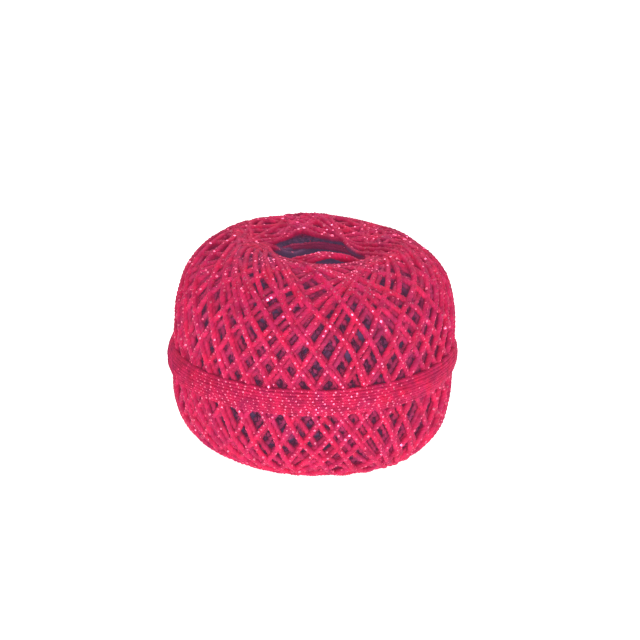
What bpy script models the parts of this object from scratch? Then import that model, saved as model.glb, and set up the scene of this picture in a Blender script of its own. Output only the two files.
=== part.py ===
"""A ball of metallic craft twine: a squat ball wound crosswise in tilted loops, with a hole down its axis
and a belt of level turns round its waist. It stands on its base, with its axis along +Z.

The ball is turned from one closed section. The points where two strands cross are then joined by edges, and
a well is sunk into each diamond between them, so that the lattice of the winding stands out as ridges.
"""

import math

import bmesh
import bpy
from mathutils import Vector

NAME = "twine_ball"

# The body's outline, measured from the winding centre to the crests of the strands.
BODY_RADIUS = 0.0386
TOP_HEIGHT = 0.0327  # where the outline would meet the axis, above the winding centre
BASE_HEIGHT = 0.0301  # the same below it
TOP_SQUARENESS = 3.3  # exponent of the superellipse: 2 is an ellipse, more is squarer
BASE_SQUARENESS = 3.7

# The craters at both ends, which slope down from a crest ring to the lip of the hole.
CREST_RADIUS = 0.0231
LIP_RADIUS = 0.0132
CRATER_DEPTH = 0.0028
CRATER_RINGS = 4

# The hole: a cone below each lip, down to the straight neck left by the winding spindle.
NECK_RADIUS = 0.0060
NECK_HALF_LENGTH = 0.0115
CONE_RINGS = 2
RING_RELIEF = 0.0005  # how far the turns that lie round the hole stand out as rings

# The lattice of crossed strands.
STRANDS = 38  # leaning each way
STRAND_TILT = math.radians(30)  # from upright, where a strand crosses the waist
LATTICE_ROWS = 9  # rows of crossings from the waist up to the crest ring
STRAND_HALF_WIDTH = 0.0008  # from a strand's ridge to its foot in a well
WELL_DEPTH = 0.0016

# The belt of level turns.
BELT_TURNS = 9
TURN_PITCH = 0.00078
BELT_HEIGHT = -0.0022  # its middle, above the winding centre
BELT_STAND_OFF = 0.0013  # how far its turns stand out from the body
BELT_SHIFT = -0.0005  # it stands out more on the -X side
TURN_GROOVE = 0.0003
BELT_EDGE_GROOVE = 0.0005
BELT_TUCK = 0.00015  # from the belt's edge to the lattice beside it

# The flat ring that the ball rests on.
FLAT_INNER_RADIUS = 0.0190
FLAT_OUTER_RADIUS = 0.0250

TWINE_COLOUR = (0.58, 0.026, 0.104, 1.0)
TWINE_ROUGHNESS = 0.75

PLAIN, LATTICE, BELT = range(3)


def crest_point(elevation):
    """The radius and height of the strands' crests, at an angle above or below the waist."""
    height, squareness = (
        (TOP_HEIGHT, TOP_SQUARENESS) if elevation > 0 else (BASE_HEIGHT, BASE_SQUARENESS)
    )
    across = abs(math.cos(elevation)) / BODY_RADIUS
    along = abs(math.sin(elevation)) / height
    reach = (across**squareness + along**squareness) ** (-1 / squareness)
    return reach * math.cos(elevation), reach * math.sin(elevation)


def crest_height(radius, height, squareness):
    """The height above the winding centre of the crest ring at this radius."""
    return height * (1 - (radius / BODY_RADIUS) ** squareness) ** (1 / squareness)


def row_elevation(row):
    """Where the strands cross for this row: a tilted loop climbs as it turns about the axis."""
    turned = row * math.pi / STRANDS
    return math.atan(math.sin(turned) / math.tan(STRAND_TILT))


def lattice_rows():
    """The upper and the lower rows of crossings, each from the top down. The belt parts them."""
    belt_half = BELT_TURNS * TURN_PITCH / 2 + BELT_TUCK
    upper = [(*crest_point(row_elevation(row)), LATTICE, row) for row in range(LATTICE_ROWS, 0, -1)]
    lower = [(*crest_point(row_elevation(-row)), LATTICE, row) for row in range(2, LATTICE_ROWS)]
    above_belt = (BODY_RADIUS, BELT_HEIGHT + belt_half, LATTICE, 0)
    below_belt = (BODY_RADIUS, BELT_HEIGHT - belt_half, LATTICE, 1)
    return upper + [above_belt], [below_belt] + lower


def belt_rows():
    """A groove, then a crest and a groove for each turn, from the top down."""
    crest = BODY_RADIUS + BELT_STAND_OFF
    top = BELT_HEIGHT + BELT_TURNS * TURN_PITCH / 2
    rows = [(crest - BELT_EDGE_GROOVE, top, BELT, 0)]
    for turn in range(BELT_TURNS):
        last = turn == BELT_TURNS - 1
        groove = BELT_EDGE_GROOVE if last else TURN_GROOVE
        rows.append((crest, top - (turn + 0.5) * TURN_PITCH, BELT, 0))
        rows.append((crest - groove, top - (turn + 1) * TURN_PITCH, BELT, 0))
    return rows


def crater_rows(crest_radius, crest, side):
    """Rings from the crest down the crater to the lip of the hole, as if the crater faced up."""
    rows = []
    for ring in range(1, CRATER_RINGS + 1):
        share = ring / CRATER_RINGS
        radius = crest_radius + share * (LIP_RADIUS - crest_radius)
        relief = RING_RELIEF if ring % 2 else 0
        rows.append((radius, side * (crest - CRATER_DEPTH * share**1.4 - relief), PLAIN, 0))
    return rows


def cone_rows(lip, side):
    """Rings from the lip down the cone to the neck, the edges of the layers wound one over another."""
    rows = []
    steps = 2 * CONE_RINGS
    for step in range(1, steps + 1):
        share = step / steps
        radius = LIP_RADIUS + share * (NECK_RADIUS - LIP_RADIUS)
        relief = RING_RELIEF if step % 2 else -RING_RELIEF
        rows.append((radius + relief, side * (lip + share * (NECK_HALF_LENGTH - lip)), PLAIN, 0))
    return rows


def section_rows():
    """The closed section as (radius, height, kind, row of crossings), down the outside and up the hole."""
    top_crest = crest_height(CREST_RADIUS, TOP_HEIGHT, TOP_SQUARENESS)
    base = crest_height(FLAT_OUTER_RADIUS, BASE_HEIGHT, BASE_SQUARENESS)
    upper, lower = lattice_rows()
    flat = [(FLAT_OUTER_RADIUS, -base, PLAIN, 0), (FLAT_INNER_RADIUS, -base, PLAIN, 0)]
    under = crater_rows(FLAT_INNER_RADIUS, base, -1)
    over = crater_rows(CREST_RADIUS, top_crest, 1)
    hole_up = cone_rows(base - CRATER_DEPTH, -1) + cone_rows(top_crest - CRATER_DEPTH, 1)[::-1]
    crest = [(CREST_RADIUS, top_crest, PLAIN, 0)]
    rows = upper + belt_rows() + lower + flat + under + hole_up + over[::-1] + crest
    return [(radius, height + base, kind, row) for radius, height, kind, row in rows], base


def section_object(rows):
    """The section as a closed chain of edges in the XZ plane. Each point remembers its kind and row."""
    mesh = bpy.data.meshes.new("section")
    points = [(radius, 0, height) for radius, height, _, _ in rows]
    edges = [(n, (n + 1) % len(rows)) for n in range(len(rows))]
    mesh.from_pydata(points, edges, [])
    for label, column in (("kind", 2), ("row", 3)):
        layer = mesh.attributes.new(label, "INT", "POINT")
        layer.data.foreach_set("value", [entry[column] for entry in rows])
    return bpy.data.objects.new("section", mesh)


def turned(section, steps):
    """The mesh that a Screw modifier turns from the section. The section is used up."""
    bpy.context.scene.collection.objects.link(section)
    screw = section.modifiers.new("turn", "SCREW")
    screw.axis = "Z"
    screw.steps = steps
    screw.render_steps = steps
    graph = bpy.context.evaluated_depsgraph_get()
    mesh = bpy.data.meshes.new_from_object(section.evaluated_get(graph))
    bpy.data.objects.remove(section)
    return mesh


def sort_lattice(body):
    """The points where strands cross, the middles of whole diamonds, and those of diamonds cut by an edge."""
    kinds = body.verts.layers.int["kind"]
    rows = body.verts.layers.int["row"]
    crossings, whole, cut = set(), [], []
    for point in body.verts:
        if point[kinds] != LATTICE:
            continue
        column = round(math.atan2(point.co.y, point.co.x) / (math.pi / STRANDS))
        if (column + point[rows]) % 2 == 0:
            crossings.add(point)
        elif all(edge.other_vert(point)[kinds] == LATTICE for edge in point.link_edges):
            whole.append(point)
        else:
            cut.append(point)
    return crossings, whole, cut


def shift_belt(body):
    kinds = body.verts.layers.int["kind"]
    for point in body.verts:
        if point[kinds] == BELT:
            point.co.x += BELT_SHIFT


def sink_wells(body, centre_height):
    """Joins the crossings by edges, which are the strands, and sinks a well into each diamond between."""
    crossings, whole, cut = sort_lattice(body)
    for face in list(body.faces):
        ends = [point for point in face.verts if point in crossings]
        if len(ends) == 2:
            bmesh.utils.face_split(face, *ends)
    bmesh.ops.recalc_face_normals(body, faces=body.faces)
    bmesh.ops.dissolve_verts(body, verts=whole)
    diamonds = [
        face for face in body.faces if len(face.verts) == 4 and crossings.issuperset(face.verts)
    ]
    bmesh.ops.inset_individual(body, faces=diamonds, thickness=STRAND_HALF_WIDTH, depth=-WELL_DEPTH)
    centre = Vector((0, 0, centre_height))
    for point in cut:
        point.co -= (point.co - centre).normalized() * WELL_DEPTH


def wind(mesh, centre_height):
    """Gives the plain turned mesh its shifted belt and its lattice of strands."""
    body = bmesh.new()
    body.from_mesh(mesh)
    shift_belt(body)
    sink_wells(body, centre_height)
    body.to_mesh(mesh)
    body.free()


def twine_material():
    material = bpy.data.materials.new("metallic_twine")
    material.use_nodes = True
    shader = material.node_tree.nodes["Principled BSDF"]
    shader.inputs["Base Color"].default_value = TWINE_COLOUR
    shader.inputs["Roughness"].default_value = TWINE_ROUGHNESS
    shader.inputs["Metallic"].default_value = 0.0
    return material


def build_ball():
    rows, centre_height = section_rows()
    mesh = turned(section_object(rows), 2 * STRANDS)
    wind(mesh, centre_height)
    mesh.name = NAME
    mesh.materials.clear()
    mesh.materials.append(twine_material())
    mesh.shade_smooth()
    mesh.set_sharp_from_angle(angle=math.radians(25))
    ball = bpy.data.objects.new(NAME, mesh)
    collection = bpy.data.collections.new("ball_of_twine")
    bpy.context.scene.collection.children.link(collection)
    collection.objects.link(ball)


for leftover in list(bpy.data.objects):
    bpy.data.objects.remove(leftover)
build_ball()
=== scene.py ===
# %% [markdown]
# # A ball of metallic craft twine
#
# The real ball is one length of twine, wound by a machine on a thin spindle. It goes round in tilted loops,
# and after each loop the ball has turned a little, so the loops cross in a net of diamonds. No loop comes
# nearer to the axis than its tilt allows, which leaves a hole down the middle. Last come a few level turns
# round the waist.
#
# Such a ball could be a round body with a bumpy pattern. Here it is wound instead: a formula gives the place
# of the twine at every moment, and Geometry Nodes lays a plied twine along it. The net, the crowded strands
# round the hole and the deep gaps then come out by themselves, and they are right from every side.

# %% Load the frame
import math

import bpy
from mathutils import Matrix, Vector


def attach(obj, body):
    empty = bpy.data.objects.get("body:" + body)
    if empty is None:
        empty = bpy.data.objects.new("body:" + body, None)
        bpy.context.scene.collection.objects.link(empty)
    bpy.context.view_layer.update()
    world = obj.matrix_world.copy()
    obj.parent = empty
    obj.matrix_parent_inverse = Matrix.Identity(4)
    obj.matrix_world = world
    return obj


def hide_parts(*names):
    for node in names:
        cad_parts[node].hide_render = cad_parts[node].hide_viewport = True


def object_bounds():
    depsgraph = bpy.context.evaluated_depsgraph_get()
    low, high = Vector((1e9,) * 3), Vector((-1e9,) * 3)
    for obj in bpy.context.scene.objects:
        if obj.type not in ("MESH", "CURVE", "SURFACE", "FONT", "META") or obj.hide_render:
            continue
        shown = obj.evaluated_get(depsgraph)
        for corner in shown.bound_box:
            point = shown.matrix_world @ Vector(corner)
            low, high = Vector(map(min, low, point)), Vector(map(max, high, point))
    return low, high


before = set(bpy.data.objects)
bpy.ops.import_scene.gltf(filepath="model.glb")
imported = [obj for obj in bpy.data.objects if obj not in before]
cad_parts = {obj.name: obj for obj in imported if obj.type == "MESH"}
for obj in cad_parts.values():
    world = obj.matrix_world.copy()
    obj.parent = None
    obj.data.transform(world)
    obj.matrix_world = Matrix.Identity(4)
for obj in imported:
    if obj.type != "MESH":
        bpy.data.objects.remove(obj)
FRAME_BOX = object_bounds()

MM = 0.001
low, high = FRAME_BOX
print("the solid ball in mm:", [round(side / MM, 1) for side in high - low])

# %% [markdown]
# ## Sums with sockets
#
# A node tree for a path or a material is mostly small sums, and node by node they are hard to read. A Term
# wraps one socket, and adding or multiplying Terms adds the Math nodes. The Math node is the same in both
# kinds of tree, so one class serves them both. Every other node comes from its node method, which takes the
# settings first, because they decide which sockets a node has.

# %% A socket that can be reckoned with
class Term:
    """A value in a node tree. Sums with it become Math nodes."""

    def __init__(self, socket):
        self.socket = socket

    @staticmethod
    def find(sockets, key):
        """A socket by its number, or the first one in use that has this name."""
        if isinstance(key, int):
            return sockets[key]
        return next(socket for socket in sockets if socket.name == key and socket.enabled)

    @classmethod
    def node(cls, tree, kind, settings=None, values=None, out=0):
        made = tree.nodes.new(kind)
        for name, value in (settings or {}).items():
            if name == "stops":
                for stop in value[2:]:
                    made.color_ramp.elements.new(stop[0])
                for element, (place, colour) in zip(made.color_ramp.elements, value):
                    element.position = place
                    element.color = colour
            else:
                setattr(made, name, value)
        for key, value in (values or {}).items():
            socket = cls.find(made.inputs, key)
            if isinstance(value, Term):
                tree.links.new(value.socket, socket)
            else:
                socket.default_value = value
        return cls(cls.find(made.outputs, out))

    def also(self, out):
        """Another output of the same node."""
        return Term(self.find(self.socket.node.outputs, out))

    def math(self, operation, *others, before=()):
        values = dict(enumerate((*before, self, *others)))
        return Term.node(self.socket.id_data, "ShaderNodeMath", {"operation": operation}, values)

    def __add__(self, other):
        return self.math("ADD", other)

    def __sub__(self, other):
        return self.math("SUBTRACT", other)

    def __mul__(self, other):
        return self.math("MULTIPLY", other)

    def __truediv__(self, other):
        return self.math("DIVIDE", other)

    def __pow__(self, other):
        return self.math("POWER", other)

    def __rsub__(self, number):
        return self.math("SUBTRACT", before=(number,))

    def __rtruediv__(self, number):
        return self.math("DIVIDE", before=(number,))

    __radd__ = __add__
    __rmul__ = __mul__


# %% [markdown]
# The outline of the ball is needed twice: by the nodes that lay the twine, and in plain Python for the dark
# body under it. A function that works on a number and on a Term alike lets one formula serve both.

# %% Functions for numbers and Terms alike
def on_both(operation, plain):
    def function(first, *others):
        if isinstance(first, Term):
            return first.math(operation, *others)
        return plain(first, *others)

    return function


sine = on_both("SINE", math.sin)
cosine = on_both("COSINE", math.cos)
tangent = on_both("TANGENT", math.tan)
arcsine = on_both("ARCSINE", math.asin)
root = on_both("SQRT", math.sqrt)
size_of = on_both("ABSOLUTE", abs)
larger = on_both("MAXIMUM", max)
smaller = on_both("MINIMUM", min)
above = on_both("GREATER_THAN", lambda first, second: float(first > second))


def vector(tree, x, y, z):
    return Term.node(tree, "ShaderNodeCombineXYZ", {}, {"X": x, "Y": y, "Z": z})


def part_of(tree, place, axis):
    """One part of a vector, whose also method gives the others."""
    return Term.node(tree, "ShaderNodeSeparateXYZ", {}, {"Vector": place}, axis)


def with_vectors(operation, first, *others, out="Vector"):
    values = dict(enumerate((first, *others)))
    return Term.node(first.socket.id_data, "ShaderNodeVectorMath", {"operation": operation}, values, out)


def scaled(first, amount):
    values = {0: first, "Scale": amount}
    return Term.node(first.socket.id_data, "ShaderNodeVectorMath", {"operation": "SCALE"}, values)


print("the sine of a right angle:", sine(math.pi / 2))

# %% [markdown]
# ## Trees that make meshes
#
# Each tree below has named inputs for its sizes, so the same tree winds the outer turns and the inner ones.
# It is run once on an empty mesh. The result is then kept as a plain mesh without the modifier, which is
# quick to draw and safe to export.

# %% Start a tree, and run one
def new_tree(name, inputs):
    """An empty tree, its inputs as Terms, and a function that ends it with its result."""
    tree = bpy.data.node_groups.new(name, "GeometryNodeTree")
    for label, (kind, value) in inputs.items():
        socket = tree.interface.new_socket(label, in_out="INPUT", socket_type="NodeSocket" + kind)
        if value is not None:
            socket.default_value = value
    tree.interface.new_socket("Geometry", in_out="OUTPUT", socket_type="NodeSocketGeometry")
    entry, output = tree.nodes.new("NodeGroupInput"), tree.nodes.new("NodeGroupOutput")

    def end(result):
        tree.links.new(result.socket, output.inputs["Geometry"])
        print(f"{name} tree: {len(tree.nodes)} nodes")
        return tree

    return tree, {label: Term(entry.outputs[label]) for label in inputs}, end


def remember(tree, geometry, name, value, kind="FLOAT"):
    """Stores a value on every point, where a material can read it by its name."""
    settings = {"data_type": kind, "domain": "POINT"}
    values = {"Geometry": geometry, "Name": name, "Value": value}
    return Term.node(tree, "GeometryNodeStoreNamedAttribute", settings, values)


def count_of(mesh):
    return sum(len(polygon.vertices) - 2 for polygon in mesh.polygons)


def run(tree, name, values):
    """Runs a tree with these inputs and returns the result as an object with a plain mesh."""
    made = bpy.data.objects.new(name, bpy.data.meshes.new(name))
    bpy.context.scene.collection.objects.link(made)
    modifier = made.modifiers.new("wind", "NODES")
    modifier.node_group = tree
    sockets = {item.name: item.identifier for item in tree.interface.items_tree if item.in_out == "INPUT"}
    for label, value in values.items():
        modifier[sockets[label]] = value
    evaluated = made.evaluated_get(bpy.context.evaluated_depsgraph_get())
    mesh = bpy.data.meshes.new_from_object(evaluated)
    mesh.name = name
    made.modifiers.remove(modifier)
    made.data = mesh
    print(f"{name}: {count_of(mesh)} triangles")
    return made


# %% [markdown]
# ## The twine
#
# The twine has three plies twisted round each other. Three tubes for each strand would cost three times the
# faces, and two thirds of them would be hidden inside. One tube with a three-lobed section looks the same
# when the section turns as it goes: the curve's tilt does that, a whole turn for each length of twist. The
# section and the run along the twine are remembered, so that the fibres in the material can follow the twist.

# %% A tree that lays a plied twine along a path
PLIES = 3
PLY_RELIEF = 0.16  # how far the grooves between the plies go in, in parts of the radius
TWINE = {
    "Path": ("Geometry", None),
    "Twine radius": ("Float", 0.85 * MM),
    "Ply relief": ("Float", PLY_RELIEF),
    "Twist length": ("Float", 3.8 * MM),
    "Section points": ("Int", 2 * PLIES),
}


def twine_tree():
    tree, given, end = new_tree("plied twine", TWINE)
    run_along = Term.node(tree, "GeometryNodeSplineParameter", out="Length")
    path = remember(tree, given["Path"], "run", run_along)
    twist = run_along / given["Twist length"] * math.tau
    path = Term.node(tree, "GeometryNodeSetCurveTilt", {}, {"Curve": path, "Tilt": twist})

    values = {"Resolution": given["Section points"], "Radius": 1.0}
    section = Term.node(tree, "GeometryNodeCurvePrimitiveCircle", {}, values)
    around = Term.node(tree, "GeometryNodeInputPosition")
    section = remember(tree, section, "ply", around, "FLOAT_VECTOR")
    number = Term.node(tree, "GeometryNodeInputIndex")
    lobe = cosine(number / given["Section points"] * (PLIES * math.tau))
    reach_out = given["Twine radius"] * (1.0 - given["Ply relief"] * (0.5 - lobe * 0.5))
    values = {"Geometry": section, "Position": scaled(around, reach_out)}
    section = Term.node(tree, "GeometryNodeSetPosition", {}, values)

    values = {"Curve": path, "Profile Curve": section, "Fill Caps": True}
    mesh = Term.node(tree, "GeometryNodeCurveToMesh", {}, values)
    return end(Term.node(tree, "GeometryNodeSetShadeSmooth", {}, {"Geometry": mesh}))


TWINE_GROUP = twine_tree()

# %% [markdown]
# ## The glitter
#
# One fine metal filament runs with the plies. It shows only where it comes to the outside of the twist, and
# there it flashes as a short dash. So the filament is a row of small flat flecks, each turned its own way, on
# the outermost turns a little more than a millimetre apart. A fleck has eight faces: thousands of them stay
# cheap, and at this size no more would show. Most lie where the strand faces out of the ball, and the few on
# its flanks are a little bigger. Beyond a chosen distance to either side they grow fewer, for the smooth
# sides of the belt.

# %% A tree that sets metal flecks along a path
FLECKS = {
    "Path": ("Geometry", None),
    "Twine radius": ("Float", 0.85 * MM),
    "Fleck spacing": ("Float", 1.35 * MM),
    "Fleck length": ("Float", 0.74 * MM),
    "Fleck width": ("Float", 0.62 * MM),
    "Fleck spread": ("Float", math.radians(85.0)),
    "Glitter half": ("Float", 1000.0 * MM),
    "Glitter shift": ("Float", 0.0),
    "Centre height": ("Float", 0.0),
    "Seed": ("Int", 1),
}
SLIP = 0.3  # along the twine, in parts of the spacing
FLECK_SINK = 0.97  # where its middle lies, in parts of the twine's radius
FLECK_TILT = (math.radians(9), math.radians(9), math.radians(40))  # the most, each way
FLECK_SLANT = math.radians(-25)  # across the twine, as the twist goes
FLECK_SIZES = (0.5, 1.1)  # in parts of the named length and width
FLECK_THICKNESS = 0.08  # in parts of the width
FLANK_GROWTH = 0.3  # for each radian from the top of the strand
GLITTER_FADE = 9.0 * MM  # from all the flecks to none


def random_value(tree, kind, least, most, seed):
    values = {"Min": least, "Max": most, "Seed": seed}
    return Term.node(tree, "FunctionNodeRandomValue", {"data_type": kind}, values, "Value")


def spots_on_twine(tree, given, spacing, spread, sink):
    """Points on the twine's surface, the way each one faces, the way the twine runs there, and the lean."""
    values = {"Curve": given["Path"], "Length": spacing}
    points = Term.node(tree, "GeometryNodeCurveToPoints", {"mode": "LENGTH"}, values)
    along = points.also("Tangent")
    place = Term.node(tree, "GeometryNodeInputPosition")
    centre = vector(tree, 0.0, 0.0, given["Centre height"])
    out = with_vectors("SUBTRACT", place, centre)
    across = with_vectors("NORMALIZE", with_vectors("CROSS_PRODUCT", along, out))
    out = with_vectors("CROSS_PRODUCT", across, along)

    lean = random_value(tree, "FLOAT", -1.0, 1.0, given["Seed"])
    lean = lean * size_of(lean) * spread
    face = with_vectors("ADD", scaled(out, cosine(lean)), scaled(across, sine(lean)))
    slip = random_value(tree, "FLOAT", -SLIP, SLIP, given["Seed"] + 1.0) * spacing
    shift = with_vectors("ADD", scaled(face, given["Twine radius"] * sink), scaled(along, slip))
    points = Term.node(tree, "GeometryNodeSetPosition", {}, {"Geometry": points, "Offset": shift})
    return points, face, along, lean


def stance_of(tree, face, along):
    """The rotation that turns a thing's Z to the way it faces, and its X along the twine."""
    settings = {"primary_axis": "Z", "secondary_axis": "X"}
    values = {"Primary Axis": face, "Secondary Axis": along}
    return Term.node(tree, "FunctionNodeAxesToRotation", settings, values)


def fleck_tree():
    tree, given, end = new_tree("metal flecks", FLECKS)
    spacing, spread = given["Fleck spacing"], given["Fleck spread"]
    points, face, along, lean = spots_on_twine(tree, given, spacing, spread, FLECK_SINK)
    slants = (0, 0, FLECK_SLANT)
    least = tuple(-angle + slant for angle, slant in zip(FLECK_TILT, slants))
    most = tuple(angle + slant for angle, slant in zip(FLECK_TILT, slants))
    tilt = random_value(tree, "FLOAT_VECTOR", least, most, given["Seed"] + 2.0)
    tilt = Term.node(tree, "FunctionNodeEulerToRotation", {}, {"Euler": tilt})
    values = {"Rotation": stance_of(tree, face, along), "Rotate By": tilt}
    stance = Term.node(tree, "FunctionNodeRotateRotation", {"rotation_space": "LOCAL"}, values)

    size = random_value(tree, "FLOAT", *FLECK_SIZES, given["Seed"] + 3.0)
    size = size * (1.0 + size_of(lean) * FLANK_GROWTH)
    width = size * given["Fleck width"]
    shape = vector(tree, size * given["Fleck length"], width, width * FLECK_THICKNESS)
    values = {"Segments": 4, "Rings": 2, "Radius": 0.5}
    fleck = Term.node(tree, "GeometryNodeMeshUVSphere", {}, values)

    place = Term.node(tree, "GeometryNodeInputPosition")
    side = part_of(tree, place, "X") - given["Glitter shift"]
    bareness = (size_of(side) - given["Glitter half"]) / GLITTER_FADE
    keep = 1.0 - above(bareness, random_value(tree, "FLOAT", 0.0, 1.0, given["Seed"] + 4.0))
    values = {"Points": points, "Selection": keep, "Instance": fleck, "Rotation": stance, "Scale": shape}
    return end(Term.node(tree, "GeometryNodeInstanceOnPoints", {}, values))


FLECK_GROUP = fleck_tree()

# %% [markdown]
# ## The fuzz
#
# Cotton twine is hairy: short fibre ends stand out of it all round and blur its edges. Each hair is a thin
# spike of four faces, closed at its foot. They lean along the twine in both ways, as the fibres lie in it.

# %% A tree that sets fibre ends along a path
FUZZ = {
    "Path": ("Geometry", None),
    "Twine radius": ("Float", 0.85 * MM),
    "Fuzz spacing": ("Float", 0.30 * MM),
    "Fuzz length": ("Float", 0.55 * MM),
    "Fuzz width": ("Float", 0.07 * MM),
    "Centre height": ("Float", 0.0),
    "Seed": ("Int", 1),
}
FUZZ_SPREAD = math.radians(150)
FUZZ_SINK = 0.86
FUZZ_LEAN = 1.6  # how far a hair leans along the twine for each part it stands out
FUZZ_STRAY = 0.5  # and how far to any side
FUZZ_LENGTHS = (0.35, 1.0)  # in parts of the named length


def fuzz_tree():
    tree, given, end = new_tree("fibre ends", FUZZ)
    points, face, along, _ = spots_on_twine(tree, given, given["Fuzz spacing"], FUZZ_SPREAD, FUZZ_SINK)
    lean = random_value(tree, "FLOAT", -FUZZ_LEAN, FUZZ_LEAN, given["Seed"] + 2.0)
    least, most = (-FUZZ_STRAY,) * 3, (FUZZ_STRAY,) * 3
    stray = random_value(tree, "FLOAT_VECTOR", least, most, given["Seed"] + 3.0)
    ahead = with_vectors("ADD", with_vectors("ADD", face, scaled(along, lean)), stray)
    length = random_value(tree, "FLOAT", *FUZZ_LENGTHS, given["Seed"] + 4.0) * given["Fuzz length"]
    shape = vector(tree, given["Fuzz width"], given["Fuzz width"], length)
    values = {"Vertices": 3, "Radius Top": 0.0, "Radius Bottom": 0.5, "Depth": 1.0}
    hair = Term.node(tree, "GeometryNodeMeshCone", {"fill_type": "NGON"}, values)
    stance = stance_of(tree, ahead, along)
    values = {"Points": points, "Instance": hair, "Rotation": stance, "Scale": shape}
    return end(Term.node(tree, "GeometryNodeInstanceOnPoints", {}, values))


FUZZ_GROUP = fuzz_tree()

# %% [markdown]
# ## A tree for every winding
#
# The loops, the belt and the coil in the hole differ only in their route. So one function builds the tree
# for any of them: it is given the route as a function of the turn. A point's number along a line gives its
# turn, and the route gives its place. Two switches choose what is laid along the line: the twine, its flecks
# or its fuzz, because each is a piece with a finish of its own.

# %% A tree that winds twine along a route
WINDING = {
    "First turn": ("Float", 0.0),
    "Turns": ("Float", 1.0),
    "Steps a turn": ("Int", 100),
    "Flecks only": ("Bool", False),
    "Fuzz only": ("Bool", False),
    "Material": ("Material", None),
}


def passed_on(tree, group, labels, given, path):
    """Runs a group on the path inside a tree, with the tree's own inputs of the same names."""
    values = {label: given[label] for label in labels if label != "Path"}
    return Term.node(tree, "GeometryNodeGroup", {"node_tree": group}, {"Path": path} | values)


def winding_tree(name, sizes, route):
    """route takes the inputs and the turn, and returns a point's place, its depth, and 1 if it stays."""
    common = {label: value for label, value in (TWINE | FLECKS | FUZZ).items() if label != "Path"}
    tree, given, end = new_tree(name, WINDING | common | sizes)
    number = Term.node(tree, "GeometryNodeInputIndex")
    place, depth, stays = route(tree, given, given["First turn"] + number / given["Steps a turn"])
    count = given["Turns"] * given["Steps a turn"] + 1.0
    line = Term.node(tree, "GeometryNodeMeshLine", {"mode": "OFFSET"}, {"Count": count})
    line = Term.node(tree, "GeometryNodeSetPosition", {}, {"Geometry": line, "Position": place})
    line = remember(tree, line, "depth", depth)
    values = {"Geometry": line, "Selection": 1.0 - stays}
    line = Term.node(tree, "GeometryNodeDeleteGeometry", {"domain": "POINT"}, values)
    path = Term.node(tree, "GeometryNodeMeshToCurve", {}, {"Mesh": line})
    twine = passed_on(tree, TWINE_GROUP, TWINE, given, path)
    flecks = passed_on(tree, FLECK_GROUP, FLECKS, given, path)
    fuzz = passed_on(tree, FUZZ_GROUP, FUZZ, given, path)
    values = {"Switch": given["Flecks only"], "False": twine, "True": flecks}
    made = Term.node(tree, "GeometryNodeSwitch", {"input_type": "GEOMETRY"}, values)
    values = {"Switch": given["Fuzz only"], "False": made, "True": fuzz}
    made = Term.node(tree, "GeometryNodeSwitch", {"input_type": "GEOMETRY"}, values)
    made = Term.node(tree, "GeometryNodeRealizeInstances", {}, {"Geometry": made})
    values = {"Geometry": made, "Material": given["Material"]}
    return end(Term.node(tree, "GeometryNodeSetMaterial", {}, values))


# %% [markdown]
# ## The outline of the ball
#
# The ball is squatter and squarer than a sphere, and both its ends dip from a ring of crests to the lip of
# the hole. In a section through the axis it is a superellipse, whose exponent sets how square it is, less a
# dip that grows with the angle past the crest. The formula measures from the winding centre, about which
# every loop is tilted.

# %% Sizes of the outline
CENTRE_HEIGHT = 28.33 * MM
OUTLINE = {
    "Body radius": 39.0 * MM,
    "Top height": 32.9 * MM,
    "Base height": 30.1 * MM,
    "Top squareness": 3.4,
    "Base squareness": 3.7,
    "Top crest": math.radians(53.1),
    "Base crest": math.radians(56.1),
    "Top dip": 23.5 * MM,
    "Base dip": 43.0 * MM,
}


def reach(outline, rise):
    """From the winding centre to the crests, for the sine of the angle above the waist."""
    upper = above(rise, 0.0)

    def for_side(name):
        return outline["Base " + name] + upper * (outline["Top " + name] - outline["Base " + name])

    squareness = for_side("squareness")
    level = root(1.0 - rise * rise) / outline["Body radius"]
    steep = size_of(rise) / for_side("height")
    dip = larger(arcsine(size_of(rise)) - for_side("crest"), 0.0) * for_side("dip")
    return (level**squareness + steep**squareness) ** (-1.0 / squareness) - dip


print("crests at the waist, mm:", round(reach(OUTLINE, 0.0) / MM, 1))

# %% [markdown]
# ## The route of the loops
#
# At every turn the twine goes once round a tilted circle, drawn out to the outline. The tilt from upright
# sets how near the hole the loop passes: the lip is where the smallest tilt ends. After a layer of 36 turns
# the loops have gone nearly once round the axis, so the next layer lies beside its strands, and a shift can
# move it further. A slow sway of the tilt and a small wandering of the bearing come from the machine's guide
# and the springy twine. Without them the net would look printed.

# %% The tilted loops as a tree
TOTAL_TURNS = 700
LOOPS = {
    "Total turns": ("Float", float(TOTAL_TURNS)),
    "Turns a layer": ("Float", 36.16),
    "Layer depth": ("Float", 0.85 * MM),
    "Least tilt": ("Float", math.radians(25.6)),
    "Tilt sway": ("Float", math.radians(11.0)),
    "Sway turns": ("Float", 7.31),
    "Wander": ("Float", math.radians(2.3)),
    "Unevenness": ("Float", 0.5 * MM),
    "Least steepness": ("Float", -1.0),
    "Shift": ("Float", 0.0),
}
WANDER_A_TURN = 1.9
UNEVEN_A_TURN = 5.3
LOOP_NOISE, CROSSING_NOISE, BELT_NOISE = 70.0, 30.0, 90.0  # stretches of one noise, far apart
NOISE_MIDDLE = 0.5
SWAY_BIAS = 1.4  # above 1, more loops pass near the hole than near the crests
FLOOR_GAP = 0.25 * MM  # under the lowest strands, for their flecks and fuzz


def wandering(tree, along):
    """A smooth random value from -0.5 to 0.5, which changes with the run along a route."""
    noise = Term.node(tree, "ShaderNodeTexNoise", {"noise_dimensions": "1D"}, {"W": along, "Detail": 1.0})
    return noise - NOISE_MIDDLE


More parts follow.
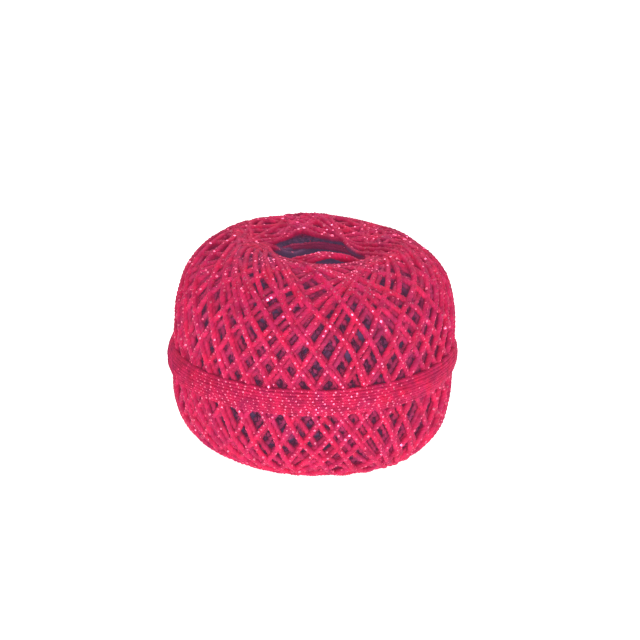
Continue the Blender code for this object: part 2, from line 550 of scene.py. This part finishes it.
def loop_direction(angle, bearing, tilt):
    """The way from the winding centre to a point of a tilted loop: two level parts and the rise."""
    out, climb = cosine(angle), sine(angle)
    side, rise = climb * sine(tilt), climb * cosine(tilt)
    east, north = cosine(bearing), sine(bearing)
    return out * east - side * north, out * north + side * east, rise


def on_outline(tree, given, direction, depth):
    """The place of the twine in this direction, when its crest lies this deep below the outline."""
    east, north, rise = direction
    length = reach(given, rise) - depth - given["Twine radius"]
    z = larger(rise * length + given["Centre height"], given["Twine radius"] + FLOOR_GAP)
    return vector(tree, east * length, north * length, z)


def loop_route(tree, given, turn):
    angle = turn * math.tau
    wander = wandering(tree, turn * WANDER_A_TURN) / NOISE_MIDDLE
    bearing = (angle + given["Shift"] * math.tau) / given["Turns a layer"] + wander * given["Wander"]
    sway = sine(turn / given["Sway turns"] * math.tau + wander) * 0.5 + 0.5
    tilt = given["Least tilt"] + given["Tilt sway"] * sway**SWAY_BIAS
    depth = (given["Total turns"] - turn) / given["Turns a layer"] * given["Layer depth"]
    uneven = wandering(tree, turn * UNEVEN_A_TURN + LOOP_NOISE) * given["Unevenness"]
    direction = loop_direction(angle, bearing, tilt)
    place = on_outline(tree, given, direction, depth - uneven)
    steepness = size_of(direction[2])
    return place, depth, above(steepness, given["Least steepness"])


outline_inputs = {name: ("Float", value) for name, value in OUTLINE.items()}
LOOP_TREE = winding_tree("tilted loops", LOOPS | outline_inputs, loop_route)

# %% [markdown]
# ## The colours
#
# A colour picker shows colours as a screen does, while the renderer wants them linear, so a small function
# turns one into the other. The dyed cotton is a strong crimson. Deep in the ball little light arrives, and
# what does has passed between red strands. So the depth was remembered on every point, and a colour ramp
# reads it and paints the twine plum and then almost navy there: painted shade. A faint painted glow lifts
# the shade, and stands for the light that soaks through the twine itself.

# %% Helpers for materials
# painted glow, which lifts the shade between and under the strands: at the surface, and deep down
PAINTED_GLOW = (0.105, 0.007, 0.028, 1.0), (0.062, 0.034, 0.072, 1.0)  # at the surface, and deep down


def screen(red, green, blue):
    def linear(part):
        part = part / 255
        return part / 12.92 if part <= 0.04045 else ((part + 0.055) / 1.055) ** 2.4

    return linear(red), linear(green), linear(blue), 1.0


def new_material(name, constants):
    """A Principled material, with what is the same all over set on its sockets."""
    material = bpy.data.materials.new(name)
    material.use_nodes = True
    material.cycles.emission_sampling = "NONE"
    shader = material.node_tree.nodes["Principled BSDF"]
    for label, value in constants.items():
        shader.inputs[label].default_value = value
    return material, material.node_tree, shader


def feed(tree, shader, label, term):
    tree.links.new(term.socket, shader.inputs[label])


def attribute(tree, name, out="Fac"):
    return Term.node(tree, "ShaderNodeAttribute", {"attribute_name": name}, out=out)


def object_place(tree):
    return Term.node(tree, "ShaderNodeTexCoord", out="Object")


def mixed(tree, amount, first, second, blend="MIX"):
    settings = {"data_type": "RGBA", "blend_type": blend, "clamp_factor": True}
    values = {"Factor": amount, "A": first, "B": second}
    return Term.node(tree, "ShaderNodeMix", settings, values, "Result")


def noise_at(tree, place, scale, detail=2.0):
    return Term.node(tree, "ShaderNodeTexNoise", {}, {"Vector": place, "Scale": scale, "Detail": detail})


def in_patches(noise, gain, cut):
    """Noise as a mask of patches: more gain hardens their edges, and more cut makes them smaller."""
    return noise * gain - cut


def in_range(noise, least, most):
    return noise * (most - least) + least


def bump(tree, height, strength, distance):
    values = {"Strength": strength, "Distance": distance, "Height": height}
    return Term.node(tree, "ShaderNodeBump", {}, values)


print("a middle grey:", round(screen(128, 128, 128)[0], 3))

# %% [markdown]
# ### Shade in the hole
#
# The remembered depth tells how far a strand lies under its neighbours, but not that it hangs in the dark of
# the hole or under a fan of other strands. So the depth also grows with the place on the ball, as painted
# shade: inside the radius and below the edge of each mouth, and near the middle of the fan.

# %% Where it is darker
DEEPEST = 6.0 * MM  # at which the ramp of colours ends
MOUTH_RADIUS = 15.5 * MM
MOUTH_EDGE = 2.0 * MM  # over which the light fades from the rim inwards
MOUTH_TOP = 55.8 * MM
MOUTH_FALL = 1.5 * MM  # over which it fades from the rim down
FAN_MIDDLE = (-16.0 * MM, -13.0 * MM, 57.0 * MM)
FAN_SPREAD = 11.0 * MM
FAN_SHADE = 3.0 * MM


def from_0_to_1(value):
    return smaller(larger(value, 0.0), 1.0)


def depth_and_painted_shade(tree, place):
    """The remembered depth, plus painted shade for what lies inside the hole or under the fan of strands."""
    x = part_of(tree, place, "X")
    radius = root(x * x + x.also("Y") * x.also("Y"))
    inside = from_0_to_1((MOUTH_RADIUS - radius) / MOUTH_EDGE)
    from_middle = size_of(x.also("Z") - CENTRE_HEIGHT)
    below = from_0_to_1(((MOUTH_TOP - CENTRE_HEIGHT) - from_middle) / MOUTH_FALL)
    away = with_vectors("DISTANCE", place, FAN_MIDDLE, out="Value")
    under_fan = larger(1.0 - away / FAN_SPREAD, 0.0)
    # painted shade: more depth inside the hole, below each mouth's edge, and near the middle of the fan
    return attribute(tree, "depth") + inside * below * DEEPEST + under_fan * FAN_SHADE


# %% [markdown]
# ### Crimson twine
#
# Dyed cotton is matt, with a faint bloom of loose fibres that sheen gives. The dye took unevenly, and the
# grooves between the plies get painted shade. The fibres run along the plies, so their noise is read in the
# twine's own coordinates: the place round the section, which turns with the twist, and the run along it,
# stretched.

# %% The crimson twine
FIBRE_RUN = 1.6 * MM
FIBRES_ROUND = 2.4
GROOVE_SHADE = 0.35


def twine_material():
    material, tree, shader = new_material("crimson_twine", {
        "Specular IOR Level": 0.18,
        "Sheen Weight": 0.12,
        "Sheen Roughness": 0.5,
        "Sheen Tint": screen(255, 120, 160),
        "Emission Strength": 1.0,
    })
    place = object_place(tree)
    ply = attribute(tree, "ply", "Vector")
    across = part_of(tree, ply, "X")
    lobe = across * across * across * 4.0 - across * 3.0  # the cosine of three times the angle
    along = vector(tree, 0.0, 0.0, attribute(tree, "run") / FIBRE_RUN)
    fibres = noise_at(tree, with_vectors("ADD", scaled(ply, FIBRES_ROUND), along), scale=1.6, detail=3.0)
    patches = noise_at(tree, place, scale=210.0)
    blots = noise_at(tree, with_vectors("ADD", place, (0.3, 0.3, 0.3)), scale=420.0, detail=1.0)

    # painted shade: crimson at the surface, then plum and almost navy deeper down, where little light arrives
    settings = {"stops": [
        (0.0, screen(212, 38, 100)),
        (0.13, screen(208, 38, 101)),
        (0.23, screen(188, 43, 100)),
        (0.33, screen(166, 46, 101)),
        (0.43, screen(138, 50, 104)),
        (0.58, screen(104, 52, 96)),
        (1.0, screen(88, 62, 98)),
    ]}
    depth = depth_and_painted_shade(tree, place) / DEEPEST
    base = Term.node(tree, "ShaderNodeValToRGB", settings, {"Fac": depth})
    base = mixed(tree, in_patches(patches, gain=1.6, cut=0.45), base, screen(255, 70, 100), "SOFT_LIGHT")
    base = mixed(tree, in_patches(blots, gain=2.8, cut=1.0), base, screen(196, 150, 200), "MULTIPLY")
    # painted shade in the grooves between the plies
    base = mixed(tree, (0.5 - lobe * 0.5) * GROOVE_SHADE, base, screen(180, 120, 150), "MULTIPLY")
    base = mixed(tree, in_patches(fibres, gain=1.8, cut=0.6), base, screen(196, 140, 176), "MULTIPLY")
    feed(tree, shader, "Base Color", base)
    # painted glow that lifts the shade, redder at the surface and plum deep down
    feed(tree, shader, "Emission Color", mixed(tree, depth, *PAINTED_GLOW))
    feed(tree, shader, "Roughness", in_range(fibres, 0.5, 0.8))
    feed(tree, shader, "Normal", bump(tree, fibres, strength=0.7, distance=0.08 * MM))
    return material


CRIMSON = twine_material()
print("nodes:", len(CRIMSON.node_tree.nodes))

# %% [markdown]
# ### Metal flecks
#
# The filament is bright metal with a rosy tint, which varies in patches. It is crumpled, so it
# is a little rough and shows as a soft point of light from most sides. Seen very flat, the real filament
# hides between its plies. So the specular tint, which colours a metal's edges, is dark red.

# %% The metal flecks
def fleck_material():
    material, tree, shader = new_material("rosy_metal", {
        "Metallic": 1.0,
        "Specular Tint": screen(150, 20, 60),
    })
    place = object_place(tree)
    tint = in_patches(noise_at(tree, place, scale=700.0, detail=1.0), gain=3.0, cut=1.0)
    feed(tree, shader, "Base Color", mixed(tree, tint, screen(255, 90, 130), screen(255, 136, 170)))
    crumples = noise_at(tree, place, scale=1100.0, detail=1.0)
    feed(tree, shader, "Roughness", in_range(crumples, 0.26, 0.56))
    return material


METAL = fleck_material()
print("nodes:", len(METAL.node_tree.nodes))

# %% [markdown]
# ### Fibre ends
#
# The loose fibres have the same dye. Light shines through such thin hairs, so they look paler and pinker, and
# they carry the surface's painted glow.

# %% The fibre ends
def fluff_material():
    material, tree, shader = new_material("pink_fluff", {
        "Roughness": 0.8,
        "Specular IOR Level": 0.1,
        "Emission Color": PAINTED_GLOW[0],
        "Emission Strength": 1.0,
    })
    shade = in_patches(noise_at(tree, object_place(tree), scale=900.0, detail=1.0), gain=2.0, cut=0.5)
    feed(tree, shader, "Base Color", mixed(tree, shade, screen(196, 42, 98), screen(214, 50, 106)))
    return material


FLUFF = fluff_material()
print("nodes:", len(FLUFF.node_tree.nodes))

# %% [markdown]
# ## Winding the ball
#
# The outermost turns get a six-point section and short steps, so their plies show. They come in two pieces,
# to keep each a handy size. Deeper layers are seen only through the gaps, and each gets a simpler section
# and longer steps. The two layers just under the outermost are shifted to both sides of its strands, which
# leaves gaps as narrow as the real ones. The table goes from the outside in.

# %% Wind the layers
LAYERS = [
    # name, turns below the surface, turns, steps a turn, section points, fleck and fuzz spacing in mm,
    # least tilt in degrees, shift in parts of the way to the next strand
    ("outer_turns_1", 18, 18, 600, 6, 1.25, 2.4, 25.6, 0.0),
    ("outer_turns_2", 36, 18, 600, 6, 1.25, 2.4, 25.6, 0.0),
    ("second_turns", 72, 36, 230, 5, 6.0, None, 28.2, 0.02),
    ("third_turns", 108, 36, 150, 4, None, None, 29.0, -0.53),
    ("fourth_turns", 144, 36, 100, 4, None, None, 27.5, -0.10),
    ("fifth_turns", 180, 36, 84, 4, None, None, 27.5, 0.0),
]
LAYERED_TURNS = LAYERS[-1][1]
SEED_STEP = 10  # a piece uses up to five seeds in a row


def wind(tree, name, values, flecks=None, fuzz=None, seed=1):
    """Winds a piece of twine and, for a spacing in mm, the pieces that hold its flecks and its fuzz."""
    values = {"Centre height": CENTRE_HEIGHT, "Seed": seed} | values
    made = [run(tree, name, values | {"Material": CRIMSON})]
    if flecks:
        only = {"Flecks only": True, "Fleck spacing": flecks * MM, "Material": METAL}
        made.append(run(tree, name.replace("turns", "flecks"), values | only))
    if fuzz:
        only = {"Fuzz only": True, "Fuzz spacing": fuzz * MM, "Material": FLUFF}
        made.append(run(tree, name.replace("turns", "fuzz"), values | only))
    return made


pieces = []
for number, (name, below, turns, steps, points, flecks, fuzz, least, shift) in enumerate(LAYERS):
    values = {
        "First turn": float(TOTAL_TURNS - below),
        "Turns": float(turns),
        "Steps a turn": steps,
        "Section points": points,
        "Ply relief": PLY_RELIEF if points == 2 * PLIES else 0.0,
        "Least tilt": math.radians(least),
        "Shift": shift,
    }
    pieces += wind(LOOP_TREE, name, values, flecks, fuzz, seed=SEED_STEP * number + 1)

# %% [markdown]
# ## Strands across the hole
#
# Some of the last loops were laid nearer to the axis than the rest, and cross the ends and the front of the
# hole. They follow the same formula, with a bearing that goes on by a chosen step, and a tilt that comes from
# how near the axis they pass. A cosine leads them all through one point, the near radius out and a quarter
# turn past the pinch bearing. Past their shoulder, a given sine of the angle above the waist, they sink under
# the other turns and end there, out of sight.

# %% A tree for loops that cross the mouth of the hole
CROSSING = {
    "First bearing": ("Float", 0.0),
    "Bearing step": ("Float", 0.1),
    "Near radius": ("Float", 13.0 * MM),
    "Radius step": ("Float", 0.0),
    "Pinch bearing": ("Float", 0.0),
    "Lift": ("Float", 0.0),
    "Lift step": ("Float", 0.0),
    "Dive": ("Float", 0.0),
    "Shoulder": ("Float", 0.66),
    "Sink": ("Float", 18.0 * MM),
    "Lowest": ("Float", 0.44),
    "Sharpness": ("Float", 5.0),
    "Brightening": ("Float", 0.0),
}
LIP_REACH = 29.3 * MM  # from the winding centre to the lip of the hole
CROSSING_UNEVENNESS = 0.4 * MM


def crossing_route(tree, given, turn):
    angle = turn * math.tau
    bearing = given["First bearing"] + turn * given["Bearing step"]
    near = given["Near radius"] + turn * given["Radius step"]
    near = near * cosine(bearing - given["Pinch bearing"])
    direction = loop_direction(angle, bearing, arcsine(near / LIP_REACH))
    east, north, rise = direction
    sink = larger(given["Shoulder"] - rise, 0.0) * given["Sink"] + larger(north, 0.0) * given["Dive"]
    lift = given["Lift"] + turn * given["Lift step"]
    lift = lift * larger(sine(angle), 0.0) ** given["Sharpness"]
    uneven = wandering(tree, turn * UNEVEN_A_TURN + CROSSING_NOISE) * CROSSING_UNEVENNESS
    place = on_outline(tree, given, direction, sink - lift + uneven)
    # the brightening lowers the depth that the colour ramp reads, so these strands get less painted shade
    return place, sink - given["Brightening"], above(rise, given["Lowest"])


CROSSING_TREE = winding_tree("crossing loops", CROSSING | outline_inputs, crossing_route)
FINENESS = {"Steps a turn": 400, "Section points": 2 * PLIES}

# %% [markdown]
# A fan of strands meets at the left end of the hole, and dives under its back lip.

# %% The fan
values = FINENESS | {
    "Turns": 6.0,
    "First bearing": math.radians(55),
    "Bearing step": math.radians(9.0),
    "Near radius": 13.2 * MM,
    "Pinch bearing": math.radians(90),
    "Lift": 0.4 * MM,
    "Dive": 12.0 * MM,
    # the fan's own strands take less of the painted shade near the fan's middle
    "Brightening": FAN_SHADE * 0.6,
}
pieces += wind(CROSSING_TREE, "fan_turns", values, flecks=1.9, fuzz=1.6, seed=71)

# %% [markdown]
# A small bundle stretches freely across the front part of the mouth. So it is lifted only while it is
# nearest to the axis, and it sinks at once past the lip.

# %% The bundle across the mouth
values = FINENESS | {
    "Turns": 3.0,
    "First bearing": math.radians(198),
    "Bearing step": math.radians(-5.0),
    "Near radius": 12.1 * MM,
    "Radius step": -0.5 * MM,
    "Pinch bearing": math.radians(191),
    "Lift": 3.1 * MM,
    "Lift step": 0.3 * MM,
    "Sharpness": 60.0,
    "Shoulder": 0.905,
    "Sink": 70.0 * MM,
    "Lowest": 0.86,
    "Top dip": 20.0 * MM,
}
pieces += wind(CROSSING_TREE, "mouth_turns", values, flecks=1.2, fuzz=1.6, seed=81)

# %% [markdown]
# Three more cross the right end of the hole.

# %% The strands at the right end
values = FINENESS | {
    "Turns": 3.0,
    "First bearing": math.radians(-66),
    "Bearing step": math.radians(10.0),
    "Near radius": 12.3 * MM,
    "Pinch bearing": math.radians(-36),
    "Lift": 0.3 * MM,
}
pieces += wind(CROSSING_TREE, "corner_turns", values, flecks=1.9, fuzz=1.6, seed=76)

# %% [markdown]
# ## Inside the hole
#
# From above, the lips of the deeper layers show one under another, like the rows of a theatre. Only the
# parts of the loops near the hole can be seen, so the tree drops every point that isn't steep enough, and
# each loop leaves two short arcs. Those just under the lip lie closer, and a few flecks glitter on them.

# %% Arcs of the deeper layers round the hole
HOLE_TURNS = 330
arcs = {
    "First turn": float(TOTAL_TURNS - LAYERED_TURNS - HOLE_TURNS),
    "Turns": float(HOLE_TURNS),
    "Steps a turn": 96,
    "Section points": 4,
    "Ply relief": 0.0,
    "Least tilt": math.radians(28.0),
    "Tilt sway": math.radians(4.0),
    "Least steepness": math.sin(math.radians(54.0)),
}
upper_arcs = arcs | {
    "First turn": float(TOTAL_TURNS - LAYERED_TURNS),
    "Turns": 72.0,
    "Least tilt": math.radians(27.4),
    "Tilt sway": math.radians(3.0),
    "Least steepness": math.sin(math.radians(57.0)),
}
pieces += wind(LOOP_TREE, "hole_turns", arcs, seed=91)
pieces += wind(LOOP_TREE, "ring_turns", upper_arcs, flecks=3.0, seed=93)

# %% [markdown]
# The first turns were laid round the spindle, and line the neck of the hole as a level coil, wider
# towards both ends. Two turns have dropped from the lip and lie in the hole as a loose ring, where some light
# still falls: a negative depth keeps it bright. Both follow one route, whose radius is that of the neck, or
# of the cone where the cone is wider.

# %% The spindle coil and the dropped turns
COIL_SPAN = 34.0 * MM
COIL_PITCH = 1.2 * MM
COIL = {
    "Neck radius": ("Float", 6.0 * MM),
    "Cone slope": ("Float", math.tan(math.radians(25.3))),
    "Coil pitch": ("Float", COIL_PITCH),
    "Coil start": ("Float", -COIL_SPAN / 2),
    "Coil depth": ("Float", 4.6 * MM),
    "Coil wander": ("Float", 1.0),
}
COIL_WANDER_A_TURN = 2.3
WANDER_ACROSS, WANDER_UP = 1.0 * MM, 1.6 * MM


def everywhere(turn):
    """1 at every turn, because none comes before 0."""
    return above(turn, -1.0)


def coil_route(tree, given, turn):
    wander = wandering(tree, turn * COIL_WANDER_A_TURN) * given["Coil wander"]
    height = turn * given["Coil pitch"] + given["Coil start"]
    cone = size_of(height) * given["Cone slope"]
    radius = larger(given["Neck radius"], cone) + given["Twine radius"] + wander * WANDER_ACROSS
    angle = turn * math.tau
    z = height + given["Centre height"] + wander * WANDER_UP
    place = vector(tree, cosine(angle) * radius, sine(angle) * radius, z)
    return place, given["Coil depth"], everywhere(turn)


COIL_TREE = winding_tree("spindle coil", COIL, coil_route)
dropped = {
    "Turns": 2.3,
    "Steps a turn": 160,
    "Section points": 2 * PLIES,
    "Twine radius": 0.62 * MM,
    "Neck radius": 11.15 * MM,
    "Coil pitch": 0.42 * MM,
    "Coil start": 24.6 * MM,
    # painted light: a negative depth makes the colour ramp paint the dropped ring bright crimson
    "Coil depth": -4.0 * MM,
    "Coil wander": 0.35,
}
coil = {"Turns": COIL_SPAN / COIL_PITCH, "Steps a turn": 60, "Section points": 5, "Ply relief": 0.0}
pieces += wind(COIL_TREE, "dropped_turns", dropped, flecks=3.0, seed=94)
pieces += wind(COIL_TREE, "spindle_turns", coil, seed=95)

# %% [markdown]
# ## The wound body
#
# Under five layers of real strands nothing can be told apart, so the rest of the winding is one turned body:
# the outline, some millimetres in, spun round the axis with the Screw modifier. Its section is closed through
# the hole, so it has no loose edge, and it runs top to bottom on the outside to face outwards.

# %% Turn the body
BODY_DEPTH = 5.6 * MM
BODY_ROW = math.radians(3)
BODY_STEEPEST = math.radians(60)
BODY_SIDES = 72
BODY_LOWEST = 3.0 * MM
NECK = (7.4 * MM, 10.0 * MM)  # radius and half length of its straight hole
MERGE_DISTANCE = 0.01 * MM


def body_section():
    rows = []
    count = round(2 * BODY_STEEPEST / BODY_ROW)
    for number in range(count + 1):
        rise = math.sin(BODY_STEEPEST - number * BODY_ROW)
        length = reach(OUTLINE, rise) - BODY_DEPTH
        height = max(length * rise + CENTRE_HEIGHT, BODY_LOWEST)
        rows.append((length * math.sqrt(1 - rise * rise), height))
    radius, half = NECK
    return rows + [(radius, CENTRE_HEIGHT - half), (radius, CENTRE_HEIGHT + half)]


def turned(name, section):
    edges = [(number, (number + 1) % len(section)) for number in range(len(section))]
    mesh = bpy.data.meshes.new(name)
    mesh.from_pydata([(radius, 0, height) for radius, height in section], edges, [])
    made = bpy.data.objects.new(name, mesh)
    bpy.context.scene.collection.objects.link(made)
    screw = made.modifiers.new("turn", "SCREW")
    screw.steps = screw.render_steps = BODY_SIDES
    screw.use_merge_vertices = True
    screw.merge_threshold = MERGE_DISTANCE
    evaluated = made.evaluated_get(bpy.context.evaluated_depsgraph_get())
    made.data = bpy.data.meshes.new_from_object(evaluated)
    made.modifiers.clear()
    made.data.shade_smooth()
    print(f"{name}: {count_of(made.data)} triangles")
    return made


body = turned("wound_body", body_section())

# %% [markdown]
# Its finish has the dull plum of the deep twine, painted shade, in streaks that slant both ways like the
# strands over it. Each of two stretched noises gives the streaks of one slant, and the stronger one shows.

# %% The deep winding's finish
STREAK_SLANT = math.radians(31)
STREAK_STRETCH = 0.35


def body_material():
    material, tree, shader = new_material("deep_winding", {
        "Roughness": 0.9,
        "Specular IOR Level": 0.1,
        # the deep painted glow
        "Emission Color": PAINTED_GLOW[1],
        "Emission Strength": 1.0,
    })
    place = object_place(tree)
    streaks = []
    for slant in (-STREAK_SLANT, STREAK_SLANT):
        values = {"Vector": place, "Scale": (1.0, 1.0, STREAK_STRETCH), "Rotation": (0.0, slant, 0.0)}
        streaks.append(noise_at(tree, Term.node(tree, "ShaderNodeMapping", {}, values), scale=700.0))
    streak = larger(*streaks)
    # painted shade: dark plum, as the deep twine looks where little light arrives
    feed(tree, shader, "Base Color", mixed(tree, streak, screen(70, 48, 78), screen(104, 52, 94)))
    feed(tree, shader, "Normal", bump(tree, streak, strength=0.3, distance=0.2 * MM))
    return material


body.data.materials.append(body_material())
pieces.append(body)

# %% [markdown]
# ## The belt
#
# The last turns are level and pulled tight, side by side round the waist. They press each other flat, so they
# are thinner than the rest, and the outer ones press into the ball, so the belt is thickest in its middle.
# Both ends are tucked under. The belt sits a little to one side, leans by a few degrees and rises at both
# sides, where its twine is smoother and shows few flecks.

# %% Wind the belt
BELT_RADIUS = (high.y - low.y) / 2
BELT_SHIFT = (high.x + low.x) / 2 + 0.25 * MM
BELT = {
    "Belt radius": ("Float", BELT_RADIUS),
    "Belt shift": ("Float", BELT_SHIFT),
    "Belt height": ("Float", CENTRE_HEIGHT - 2.2 * MM),
    "Belt pitch": ("Float", 0.78 * MM),
    "Belt crown": ("Float", 0.9 * MM),
    "Belt tilt": ("Float", math.radians(2.8)),
    "Belt rise": ("Float", 0.8 * MM),
    "Start": ("Float", math.radians(80)),
}
TUCK_TURNS = 0.14
TUCK_DEPTH = 1.6 * MM
BULGES_A_TURN = 4.1
BELT_UNEVENNESS = 0.35 * MM


def belt_route(tree, given, turn):
    angle = turn * math.tau + given["Start"]
    middle = given["Turns"] * 0.5
    off_middle = (middle - turn) / middle
    to_end = smaller(turn, given["Turns"] - turn)
    tuck = larger(1.0 - to_end / TUCK_TURNS, 0.0)
    sunk = off_middle * off_middle * given["Belt crown"] + tuck * tuck * TUCK_DEPTH
    bulge = wandering(tree, turn * BULGES_A_TURN + BELT_NOISE) * BELT_UNEVENNESS
    radius = given["Belt radius"] - given["Twine radius"] - sunk + bulge
    drift = wandering(tree, turn * UNEVEN_A_TURN) * BELT_UNEVENNESS
    x = cosine(angle) * radius + given["Belt shift"]
    z = given["Belt height"] + (middle - turn) * given["Belt pitch"] + drift
    z = z + x * tangent(given["Belt tilt"]) + cosine(angle) * cosine(angle) * given["Belt rise"]
    return vector(tree, x, sine(angle) * radius, z), 0.0, everywhere(turn)


BELT_TREE = winding_tree("level belt", BELT, belt_route)
belt = {
    "Turns": 9.0,
    "Steps a turn": 640,
    "Twine radius": 0.66 * MM,
    "Fleck length": 0.66 * MM,
    "Fleck width": 0.58 * MM,
    "Fleck spread": math.radians(22.0),
    "Glitter half": 25.0 * MM,
    "Glitter shift": -4.0 * MM,
}
pieces += wind(BELT_TREE, "belt_turns", belt, flecks=2.15, seed=97)

# %% [markdown]
# ## Riding on the solid ball
#
# Every piece stands for the one plain solid, which is hidden, and moves with the only body.

# %% Hand the pieces over
for piece in pieces:
    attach(piece, "root")
    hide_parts("twine_ball")
print(len(pieces), "pieces,", sum(count_of(piece.data) for piece in pieces), "triangles")

# %% [markdown]
# ## The studio
#
# A pale floor, which glows a little so that shadows on it are faint, runs past the edge of the picture. The
# surroundings are an even white. One light stands low beside the camera, so what faces the camera is bright
# and the sides fall off. A softer one, high behind the ball, lights its top and the hole.

# %% Floor and light
FLOOR_HALF = 4.0
scene = bpy.context.scene
scene.view_settings.view_transform = "Standard"
corners = [(x * FLOOR_HALF, y * FLOOR_HALF) for x, y in ((-1, -1), (1, -1), (1, 1), (-1, 1))]
FLOOR_MATERIAL = new_material("pale_floor", {
    "Base Color": (0.45, 0.45, 0.45, 1.0),
    "Roughness": 0.9,
    "Emission Color": (1.0, 1.0, 1.0, 1.0),
    "Emission Strength": 1.2,
})[0]
floor = bpy.data.objects.new("floor", bpy.data.meshes.new("floor"))
floor.data.from_pydata([(x, y, 0) for x, y in corners], [], [(0, 1, 2, 3)])
floor.data.materials.append(FLOOR_MATERIAL)
scene.collection.objects.link(floor)

world = bpy.data.worlds.new("studio")
world.use_nodes = True
surround = world.node_tree.nodes["Background"]
surround.inputs["Color"].default_value = (1.0, 1.0, 1.0, 1.0)
surround.inputs["Strength"].default_value = 0.41
scene.world = world


def sun(name, strength, spread, azimuth, elevation):
    """Angles are in degrees, and the azimuth starts at the camera."""
    light = bpy.data.lights.new(name, "SUN")
    light.energy = strength
    light.angle = math.radians(spread)
    lamp = bpy.data.objects.new(name, light)
    scene.collection.objects.link(lamp)
    print(f"{name} light: {azimuth} degrees round and {elevation} up")
    azimuth, elevation = math.radians(azimuth), math.radians(elevation)
    level = math.cos(elevation)
    towards = Vector((math.sin(azimuth) * level, -math.cos(azimuth) * level, math.sin(elevation)))
    lamp.rotation_euler = towards.to_track_quat("Z", "Y").to_euler()


sun("key", strength=2.44, spread=20, azimuth=5, elevation=5)
sun("top", strength=1.95, spread=50, azimuth=183, elevation=60)

# %% [markdown]
# The camera looks down at the ball by about twenty degrees from 0.8 m, with a long lens. The real ball lies
# a little askew in its picture, so the camera is rolled rather than the ball.

# %% The camera
ELEVATION = math.radians(19.5)
ROLL = math.radians(3.0)
DISTANCE = 800.0 * MM
VIEW_WIDTH = 175.9 * MM  # what the picture spans at the ball
AIM_RIGHT = 1.76 * MM
AIM_UP = 7.2 * MM
NEAREST_SEEN = 10.0 * MM
data = bpy.data.cameras.new("camera")
camera = bpy.data.objects.new("camera", data)
scene.collection.objects.link(camera)
back = Vector((0, -math.cos(ELEVATION), math.sin(ELEVATION)))
facing = (-back).to_track_quat("-Z", "Y").to_matrix() @ Matrix.Rotation(ROLL, 3, "Z")
facing = facing @ Matrix.Rotation(-math.atan(AIM_RIGHT / DISTANCE), 3, "Y")
facing = facing @ Matrix.Rotation(math.atan(AIM_UP / DISTANCE), 3, "X")
camera.location = Vector((0, 0, CENTRE_HEIGHT)) + back * DISTANCE
camera.rotation_euler = facing.to_euler()
data.lens = data.sensor_width * DISTANCE / VIEW_WIDTH
data.clip_start = NEAREST_SEEN
scene.camera = camera
print("lens, mm:", round(data.lens, 1))
